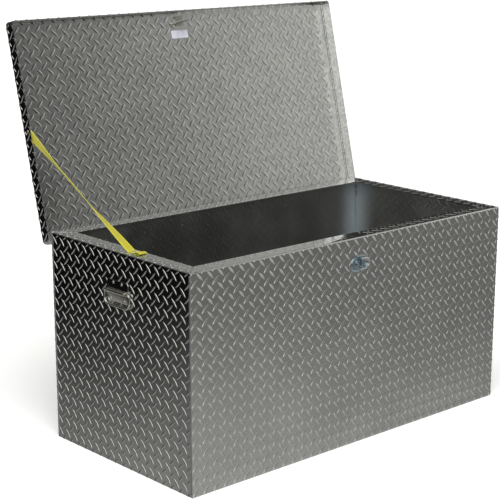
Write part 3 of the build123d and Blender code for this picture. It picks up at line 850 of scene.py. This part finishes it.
def add_welds():
    bm = bmesh.new()
    seed = 0
    rim_line = HALF_D - SHEET
    for low, high in islands("corner_weld_beads"):
        side = 1 if low.x > 0 else -1
        end = 1 if low.y > 0 else -1
        seed += 3
        foot = Vector((side * HALF_W, (low.y + high.y) / 2, low.z))
        head = Vector((foot.x, foot.y, high.z + 2 * MM))
        bead(bm, foot, head, X * side, 3.4 * MM, 1.1 * MM, 0.05, 2 * MM, seed)
        tip = Vector((side * (HALF_W - 3 * MM), end * rim_line, HEIGHT))
        bead(bm, tip, tip - X * side * 13 * MM, Z, 2.2 * MM, 1.0 * MM, 0.25, 0.6 * MM, seed + 1)
        seam = Vector((side * (HALF_W - RIM + 9 * MM), end * (HALF_D - RIM + 9 * MM), HEIGHT))
        inner = Vector((side * (HALF_W - RIM + 1 * MM), end * (HALF_D - RIM + 1 * MM), HEIGHT))
        bead(bm, seam, inner, Z, 1.4 * MM, 0.6 * MM, 0.2, 0.6 * MM, seed + 2)
    piece_from(bm, "corner_beads", [ground_weld], "chest", ("corner_weld_beads",))

    bm = bmesh.new()
    for low, high in islands("inside_corner_welds"):
        side = 1 if low.x > 0 else -1
        end = 1 if low.y > 0 else -1
        seed += 1
        root = Vector((side * (HALF_W - SHEET - 1.6 * MM), end * (HALF_D - SHEET - 1.6 * MM), low.z))
        top = Vector((root.x, root.y, high.z))
        inward = Vector((-side, -end, 0)).normalized()
        bead(bm, root, top, inward, 4.6 * MM, 2.2 * MM, 0.22, 0.5 * MM, seed)
    piece_from(bm, "inside_corner_beads", [weld], "chest", ("inside_corner_welds",))

    bm = bmesh.new()
    for low, high in islands("floor_weld_runs"):
        middle = (low + high) / 2
        seed += 1
        if high.x - low.x > high.y - low.y:
            out = Y if middle.y > 0 else -Y
            run = X * (high.x - low.x) / 2
            root = Vector((middle.x, 0, 0)) + out * (HALF_D - SHEET - 1.2 * MM)
        else:
            out = X if middle.x > 0 else -X
            run = Y * (high.y - low.y) / 2
            root = Vector((0, middle.y, 0)) + out * (HALF_W - SHEET - 1.2 * MM)
        root.z = SHEET + 1.2 * MM
        bead(bm, root - run, root + run, (Z - out).normalized(), 2.9 * MM, 1.5 * MM, 0.2, 0.7 * MM, seed)
    piece_from(bm, "floor_beads", [weld], "chest", ("floor_weld_runs",))

    bm = bmesh.new()
    for low, high in islands("striker_welds", LID.inverted()):
        middle = (low + high) / 2
        seed += 1
        run = Y * (high.y - low.y) / 2
        start = Vector((middle.x, middle.y, high.z)) - run
        bead(bm, start, start + 2 * run, -Z, 1.7 * MM, 1.7 * MM, 0.25, 0.5 * MM, seed)
    bmesh.ops.transform(bm, matrix=LID, verts=bm.verts)
    piece_from(bm, "striker_beads", [weld], "lid", ("striker_welds",))


def facing(at, out):
    """A matrix that stands local Z along a direction at a point."""
    return Matrix.Translation(at) @ out.to_track_quat("Z", "Y").to_matrix().to_4x4()


def spun(bm, profile, matrix, steps=28):
    """Spins a profile of (radius, height) pairs, in metres, about local Z and sets it in place."""
    part = bmesh.new()
    chain = [part.verts.new((r, 0, h)) for r, h in profile]
    edges = [part.edges.new(pair) for pair in zip(chain, chain[1:])]
    bmesh.ops.spin(
        part,
        geom=chain + edges,
        cent=(0, 0, 0),
        axis=(0, 0, 1),
        angle=2 * pi,
        steps=steps,
        use_merge=True,
    )
    bmesh.ops.remove_doubles(part, verts=part.verts, dist=1e-6)
    bmesh.ops.recalc_face_normals(part, faces=part.faces)
    bmesh.ops.transform(part, matrix=matrix, verts=part.verts)
    add_faces(bm, part, 0)


def rivets(name, node, body, spots, head, rise, grip, tail=1.2 * MM):
    """Blind rivets: domed head with the hollow its mandrel leaves, shank, and spread tail."""
    shank = 2.4 * MM
    hole = head * 0.24
    profile = [
        (0, rise * 0.55),
        (hole * 0.8, rise * 0.55),
        (hole, rise * 0.62),
        (hole * 1.15, rise * 0.94),
        (hole * 1.6, rise),
        (head * 0.62, rise * 0.88),
        (head * 0.84, rise * 0.6),
        (head * 0.96, rise * 0.3),
        (head, 0.1 * rise),
        (head * 0.985, 0),
        (shank, 0),
        (shank, -grip),
        (shank + 1.0 * MM, -grip - 0.2 * MM),
        (shank + 0.8 * MM, -grip - tail * 0.8),
        (shank, -grip - tail),
        (0, -grip - tail),
    ]
    bm = bmesh.new()
    for at, out in spots:
        spun(bm, profile, facing(at, out), 24)
    piece_from(bm, name, [rivet_metal], body, (node,))


def add_rivets():
    spots = []
    for low, high in islands("hinge_body_rivets"):
        middle = (low + high) / 2
        spots.append((Vector((middle.x, HALF_D + LEAF, middle.z)), Y))
    rivets("rear_hinge_rivets", "hinge_body_rivets", "chest", spots, 4.6 * MM, 1.8 * MM, 3.5 * MM)
    spots = []
    for low, high in islands("hinge_lid_rivets", LID.inverted()):
        middle = (low + high) / 2
        spots.append((LID @ Vector((middle.x, lid_high.y, middle.z)), LID_DOWN))
    rivets("lid_hinge_rivets", "hinge_lid_rivets", "lid", spots, 4.6 * MM, 1.8 * MM, 3.5 * MM, 1.0 * MM)
    for side, word in ((-1, "left"), (1, "right")):
        node = word + "_handle_rivets"
        spots = []
        for low, high in islands(node):
            middle = (low + high) / 2
            spots.append((Vector((side * (HALF_W + PLATE), middle.y, middle.z)), X * side))
        rivets(word + "_plate_rivets", node, "chest", spots, 4.4 * MM, 2.2 * MM, PLATE + SHEET)
    low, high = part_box("strap_rim_rivet")
    middle = (low + high) / 2
    at = Vector((middle.x, middle.y, HEIGHT + 2 * TAPE))
    rivets("rim_strap_rivet", "strap_rim_rivet", "chest", [(at, Z)], 5.4 * MM, 2.0 * MM, 2 * TAPE + SHEET)
    spots = [(LID @ Vector((-LID_SIDE, strap_top_y, strap_top_z)), -X)]
    rivets("flange_strap_rivet", "strap_lid_rivet", "lid", spots, 5.0 * MM, 2.0 * MM, SHEET + TAPE, 1.4 * MM)


def rod(bm, at, heading, radius, moves, closed=False):
    """Bends a round rod: each move is a straight run (length) or a bend (radius, angle, axis)."""
    part = bmesh.new()
    bmesh.ops.create_circle(part, cap_ends=not closed, radius=radius, segments=20)
    bmesh.ops.transform(part, matrix=facing(at, heading), verts=part.verts)
    ring = list(part.edges)
    place_now = at.copy()
    heading = heading.copy()
    for move in moves:
        if len(move) == 1:
            made = bmesh.ops.extrude_edge_only(part, edges=ring)["geom"]
            moved = [g for g in made if isinstance(g, bmesh.types.BMVert)]
            bmesh.ops.translate(part, vec=heading * move[0], verts=moved)
            ring = [g for g in made if isinstance(g, bmesh.types.BMEdge) and all(v in moved for v in g.verts)]
            place_now += heading * move[0]
        else:
            bend, angle, axis = move
            centre = place_now + axis.cross(heading) * bend
            verts = list({v for e in ring for v in e.verts})
            made = bmesh.ops.spin(
                part,
                geom=ring + verts,
                cent=centre,
                axis=axis,
                angle=angle,
                steps=max(3, round(angle / (pi / 2) * 9)),
            )["geom_last"]
            ring = [g for g in made if isinstance(g, bmesh.types.BMEdge)]
            turn = Matrix.Rotation(angle, 3, axis)
            place_now = centre + turn @ (place_now - centre)
            heading = turn @ heading
    if closed:
        bmesh.ops.remove_doubles(part, verts=part.verts, dist=0.02 * MM)
    else:
        bmesh.ops.holes_fill(part, edges=ring, sides=0)
    bmesh.ops.recalc_face_normals(part, faces=part.faces)
    add_faces(bm, part, 0)


# ---- end handles
PLATE = 1.6 * MM
ROD = 3.5 * MM


def slab(bm, wide, tall, corner, thick, edge, matrix):
    """A flat plate with rounded corners and softened edges, lying on local z = 0."""
    part = bmesh.new()
    bmesh.ops.create_cube(part, size=1)
    bmesh.ops.scale(part, vec=(wide, tall, thick), verts=part.verts)
    bmesh.ops.translate(part, vec=(0, 0, thick / 2), verts=part.verts)
    upright = [e for e in part.edges if abs(e.verts[0].co.z - e.verts[1].co.z) > thick / 2]
    bmesh.ops.bevel(part, geom=upright, offset=corner, segments=8, profile=0.5, affect="EDGES", material=-1)
    ring = [e for e in part.edges if min(v.co.z for v in e.verts) > thick * 0.99]
    bmesh.ops.bevel(part, geom=ring, offset=edge, segments=3, profile=0.5, affect="EDGES", material=-1)
    bmesh.ops.transform(part, matrix=matrix, verts=part.verts)
    add_faces(bm, part, 0)


def add_handles():
    for side, word in ((-1, "left"), (1, "right")):
        low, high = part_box(word + "_handle_plate")
        bail_low, bail_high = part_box(word + "_handle_bail")
        axis = Vector(((bail_low.x + bail_high.x) / 2, 0, bail_high.z - ROD))
        bm = bmesh.new()
        middle = Vector((side * HALF_W, (low.y + high.y) / 2, (low.z + high.z) / 2))
        turn = Matrix.Translation(middle) @ Matrix.Rotation(radians(90 * side), 4, "Y")
        slab(bm, high.z - low.z, high.y - low.y, 8 * MM, PLATE, 0.6 * MM, turn)
        # the plate's middle is rolled into a barrel round the rod
        barrel = 38 * MM
        outer = ROD + 1.9 * MM
        bore = ROD + 0.1 * MM
        profile = [
            (bore, -barrel),
            (outer - 0.5 * MM, -barrel),
            (outer, -barrel + 0.5 * MM),
            (outer, -barrel / 3),
            (outer, barrel / 3),
            (outer, barrel - 0.5 * MM),
            (outer - 0.5 * MM, barrel),
            (bore, barrel),
            (bore, -barrel),
        ]
        spun(bm, profile, facing(axis, Y), 32)
        seat = Matrix.Translation(Vector((side * (HALF_W + PLATE), 0, axis.z))) @ turn.to_3x3().to_4x4()
        slab(bm, 2 * outer + 3 * MM, 2 * barrel + 2 * MM, 1.5 * MM, 1.2 * MM, 0.7 * MM, seat)
        piece_from(bm, word + "_plate", [chrome], "chest", (word + "_handle_plate",))

        bm = bmesh.new()
        reach = bail_high.y - ROD
        drop = bail_high.z - bail_low.z - 2 * ROD
        top_bend = 6 * MM
        low_bend = 17 * MM
        quarter = pi / 2
        half_top = reach - top_bend
        side_run = drop - top_bend - low_bend
        moves = [
            (half_top,),
            (top_bend, quarter, -X),
            (side_run,),
            (low_bend, quarter, -X),
            (2 * (reach - low_bend),),
            (low_bend, quarter, -X),
            (side_run,),
            (top_bend, quarter, -X),
            (half_top,),
        ]
        rod(bm, axis, Y, ROD, moves, True)
        piece_from(bm, word + "_bail", [chrome], word + "_bail", (word + "_handle_bail",))


# ---- lock
def oval_rings(bm, wide, tall, rings, matrix):
    """A long-round plate built up ring by ring: each ring is (inset, height)."""
    part = bmesh.new()
    straight = (wide - tall) / 2
    bmesh.ops.create_circle(part, cap_ends=True, radius=tall / 2, segments=48)
    base = {v: v.co.copy() for v in part.verts}
    ring = list(part.edges)
    current = dict(base)
    for number, (inset, height) in enumerate(rings):
        if number:
            made = bmesh.ops.extrude_edge_only(part, edges=ring)["geom"]
            fresh = [g for g in made if isinstance(g, bmesh.types.BMVert)]
            ring = [g for g in made if isinstance(g, bmesh.types.BMEdge) and all(v in fresh for v in g.verts)]
            before = {tuple(round(c, 7) for c in v.co): base[v] for v in current}
            current = {v: before[tuple(round(c, 7) for c in v.co)] for v in fresh}
            base.update(current)
        for v in current:
            flat = base[v]
            shift = straight if flat.x > 1e-6 else -straight if flat.x < -1e-6 else 0
            v.co = flat * (1 - inset / (tall / 2)) + Vector((shift, 0, height))
    bmesh.ops.holes_fill(part, edges=ring, sides=0)
    bmesh.ops.recalc_face_normals(part, faces=part.faces)
    bmesh.ops.transform(part, matrix=matrix, verts=part.verts)
    add_faces(bm, part, 0)


def add_lock():
    low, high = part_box("lock_housing")
    middle = (low + high) / 2
    face = Matrix.Translation(Vector((middle.x, -HALF_D, middle.z))) @ Matrix.Rotation(pi / 2, 4, "X")
    bm = bmesh.new()
    rings = [
        (0, 0),
        (0, 2.4 * MM),
        (0.3 * MM, 3.5 * MM),
        (0.9 * MM, 4.2 * MM),
        (1.6 * MM, 4.4 * MM),
        (2.3 * MM, 4.2 * MM),
        (2.9 * MM, 3.4 * MM),
        (3.5 * MM, 2.5 * MM),
        (4.6 * MM, 2.1 * MM),
        (9 * MM, 2.0 * MM),
    ]
    oval_rings(bm, high.x - low.x, high.z - low.z, rings, face)
    # threaded barrel through the wall
    thread = [(6.1 * MM, 0), (10.3 * MM, 0)]
    for turn_number in range(8):
        thread.append((10.3 * MM, -1.6 * MM * turn_number))
        thread.append((10.8 * MM, -1.6 * MM * (turn_number + 0.5)))
    thread += [(10.3 * MM, -13 * MM), (6.1 * MM, -13 * MM), (6.1 * MM, 0)]
    spun(bm, thread, face, 32)
    piece_from(bm, "lock_dish", [lock_metal], "chest", ("lock_housing",))

    pull_low, pull_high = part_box("lock_pull")
    pin_low, pin_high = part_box("lock_pull_pin")
    pivot = (pin_low + pin_high) / 2
    wire_r = 2.4 * MM
    bend = (pull_high.z - pull_low.z) / 2 - 2.7 * MM
    run = pull_high.x - wire_r - pivot.x - bend
    bm = bmesh.new()
    start = Vector((pivot.x + 1 * MM, pivot.y, middle.z + bend))
    rod(bm, start, X, wire_r, [(run - 1 * MM,), (bend, pi, Y), (run - 1 * MM,)])
    for way in (-1, 1):
        eye = [
            (1.56 * MM, -2.6 * MM),
            (2.4 * MM, -2.6 * MM),
            (2.7 * MM, -2.2 * MM),
            (2.7 * MM, 2.2 * MM),
            (2.4 * MM, 2.6 * MM),
            (1.56 * MM, 2.6 * MM),
            (1.56 * MM, -2.6 * MM),
        ]
        spun(bm, eye, facing(Vector((pivot.x, pivot.y, middle.z + way * bend)), Z), 20)
    piece_from(bm, "pull_loop", [pull_metal], "lock_pull", ("lock_pull",))


# ---- strap
TAPE = 1.2 * MM
TAPE_WIDE = 25 * MM
flange_rivet_low, flange_rivet_high = lid_box("strap_lid_rivet")
strap_top_y = (flange_rivet_low.y + flange_rivet_high.y) / 2
strap_top_z = (flange_rivet_low.z + flange_rivet_high.z) / 2


def smooth_path(points, pieces=8):
    """A smooth line through points, as places a short step apart."""
    line = []
    ends = [points[0] * 2 - points[1]] + points + [points[-1] * 2 - points[-2]]
    for p0, p1, p2, p3 in zip(ends, ends[1:], ends[2:], ends[3:]):
        for step in range(pieces):
            t = step / pieces
            line.append(
                p1 * (2 - 5 * t * t + 3 * t ** 3) / 2
                + p0 * (2 * t * t - t - t ** 3) / 2
                + p2 * (t + 4 * t * t - 3 * t ** 3) / 2
                + p3 * (t ** 3 - t * t) / 2
            )
    return line + [points[-1]]


def eased(t):
    """0 before 0 and 1 after 1, with a smooth step between."""
    t = min(1.0, max(0.0, t))
    return t * t * (3 - 2 * t)


def add_strap():
    rivet_low, rivet_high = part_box("strap_rim_rivet")
    x = (rivet_low.x + rivet_high.x) / 2
    y = (rivet_low.y + rivet_high.y) / 2
    top = LID @ Vector((-LID_SIDE + SHEET + TAPE / 2, strap_top_y, strap_top_z))
    leave = Vector((x, y + 13 * MM, HEIGHT + 1.5 * TAPE))
    flat = Vector((0, top.y - leave.y, top.z - leave.z)).normalized()
    near_top = top - flat * 8 * MM
    # lower layer, fold, upper layer over the rivet, run, and the lapped top end
    fold = [
        (14, 0.6),
        (-4, 0.6),
        (-22, 0.65),
        (-33, 0.8),
        (-37.4, 2.0),
        (-38.6, 3.6),
        (-36.6, 5.4),
        (-31, 6.1),
        (-24, 5.6),
        (-15, 3.2),
        (-6, 1.9),
        (5, 1.85),
    ]
    points = [Vector((x, y + a * MM, HEIGHT + b * MM)) for a, b in fold]
    folded = len(points)
    points.append(leave)
    run = near_top - leave
    for i in range(1, 12):
        t = i / 12
        sag = -3.5 * MM * sin(pi * t)
        points.append(leave + run * t + Vector((0, 0, sag)))
    points += [near_top, top, top + flat * 12 * MM]
    line = smooth_path(points)
    lengths = [0.0]
    for p, q in zip(line, line[1:]):
        lengths.append(lengths[-1] + (q - p).length)
    start = lengths[folded * 8]
    end = lengths[(folded + 12) * 8]
    count = len(line) - 1
    bm = bmesh.new()
    uv = bm.loops.layers.uv.new("tape")
    bmesh.ops.create_grid(bm, x_segments=6, y_segments=count, size=0.5)
    made = bmesh.ops.extrude_face_region(bm, geom=list(bm.faces), use_keep_orig=True)
    upper = {g for g in made["geom"] if isinstance(g, bmesh.types.BMVert)}
    for v in upper:
        v.co.z = 1
    bmesh.ops.recalc_face_normals(bm, faces=bm.faces)
    for f in bm.faces:
        for loop in f.loops:
            row = round((loop.vert.co.y + 0.5) * count)
            loop[uv].uv = ((loop.vert.co.x + 0.5) * TAPE_WIDE, lengths[row])
    for v in bm.verts:
        row = round((v.co.y + 0.5) * count)
        ahead = line[min(row + 1, count)] - line[max(row - 1, 0)]
        ahead.normalize()
        t = min(1.0, max(0.0, (lengths[row] - start) / (end - start)))
        turn = radians(53) * eased(t / 0.55) + radians(37) * eased((t - 0.66) / 0.34)
        level = ahead.cross(X).normalized()
        across = X * cos(turn) + level * sin(turn)
        if row > folded * 8 and t >= 1:
            across = level
        normal = across.cross(ahead).normalized()
        edge = (v.co.x * 2) ** 2
        thick = TAPE * (0.5 - 0.06 * edge * edge) * (1 if v.co.z > 0.5 else -1)
        v.co = line[row] + across * (v.co.x * TAPE_WIDE) + normal * thick
    bmesh.ops.recalc_face_normals(bm, faces=bm.faces)
    piece = piece_from(bm, "strap_webbing", [yellow_tape], None, ("strap",))
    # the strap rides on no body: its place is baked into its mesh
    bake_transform(piece)


# ---- room, lights and camera
def add_room():
    floor = bmesh.new()
    bmesh.ops.create_circle(floor, cap_ends=True, radius=60, segments=96)
    mesh = bpy.data.meshes.new("studio_floor")
    floor.to_mesh(mesh)
    floor.free()
    material, wire = new_material("studio_floor")
    finish_material(wire, {"Base Color": (0.9, 0.9, 0.9, 1), "Roughness": 1.0, "Specular IOR Level": 0.0})
    mesh.materials.append(material)
    ground = bpy.data.objects.new("studio_floor", mesh)
    bpy.context.scene.collection.objects.link(ground)
    # the metal mirrors the world's dimmer lower half instead, or every wall would show as white as this sheet
    ground.visible_glossy = False

    # broad soft lights to the right, at the front left and high on the left, a dim ceiling and lower half
    world = bpy.data.worlds.new("studio")
    world.use_nodes = True
    world.node_tree.nodes.clear()
    wire = Wire(world.node_tree)
    x, y, z = wire.make("ShaderNodeTexCoord").parts()
    upper = z.above(-0.08, 0.06)
    right_light = (x * 0.96 - y * 0.22 + z * 0.17).above(0.66, 1.02) * 0.8
    front_light = (y * -0.74 - x * 0.67).above(0.72, 1.0) * 0.75
    left_light = (z * 0.69 - x * 0.67 - y * 0.27).above(0.75, 1.0) * 1.1
    ceiling = z.above(0.35, 0.95) * 0.32
    near_floor = (z * -1).above(0.26, 0.42) * 0.26
    lit_side = (x - y).above(-0.4, 0.6) * 0.16
    overhead = right_light + front_light + left_light + ceiling + 0.03
    level = upper * overhead + (1 - upper) * (near_floor + lit_side) + 0.005
    glow = wire.make("ShaderNodeBackground", None, {"Color": (1.0, 1.0, 0.95, 1), "Strength": level})
    wire.make("ShaderNodeOutputWorld", None, {"Surface": glow})
    bpy.context.scene.world = world

    sun = bpy.data.lights.new("soft_key", "SUN")
    sun.energy = 3.2
    sun.angle = radians(50)
    lamp = bpy.data.objects.new("soft_key", sun)
    lamp.rotation_euler = Vector((0.35, 0.45, -1)).to_track_quat("-Z", "Y").to_euler()
    lamp.visible_glossy = False
    bpy.context.scene.collection.objects.link(lamp)


def add_camera():
    yaw = radians(43.6663)
    pitch = radians(15.2246)
    roll = radians(0.5959)
    ahead = Vector((sin(yaw) * cos(pitch), cos(yaw) * cos(pitch), -sin(pitch)))
    level = Vector((cos(yaw), -sin(yaw), 0))
    up = level.cross(ahead)
    right = level * cos(roll) + up * sin(roll)
    top = up * cos(roll) - level * sin(roll)
    camera = bpy.data.cameras.new("camera")
    camera.lens = 106.35
    camera.shift_x = -0.1051
    camera.shift_y = 0.0698
    camera.clip_end = 200
    holder = bpy.data.objects.new("camera", camera)
    holder.matrix_world = Matrix.Translation((-2.88431, -3.09892, 1.56152)) @ Matrix(
        (right, top, -ahead)
    ).transposed().to_4x4()
    bpy.context.scene.collection.objects.link(holder)
    bpy.context.scene.camera = holder
    bpy.context.scene.view_settings.view_transform = "Standard"


add_walls()
add_floor()
add_lid()
add_welds()
add_rivets()
add_handles()
add_lock()
add_strap()
for node in ("hinge_body_leaf", "hinge_lid_leaf", "hinge_pin"):
    dress(node, steel)
for node in ("lock_nut", "lock_cam", "lock_cam_screw", "striker"):
    dress(node, zinc)
for node in ("lock_core", "lock_key_plug", "lock_pull_pin"):
    dress(node, lock_metal)
dress("info_label", sticker(*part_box("info_label")))
add_room()
add_camera()
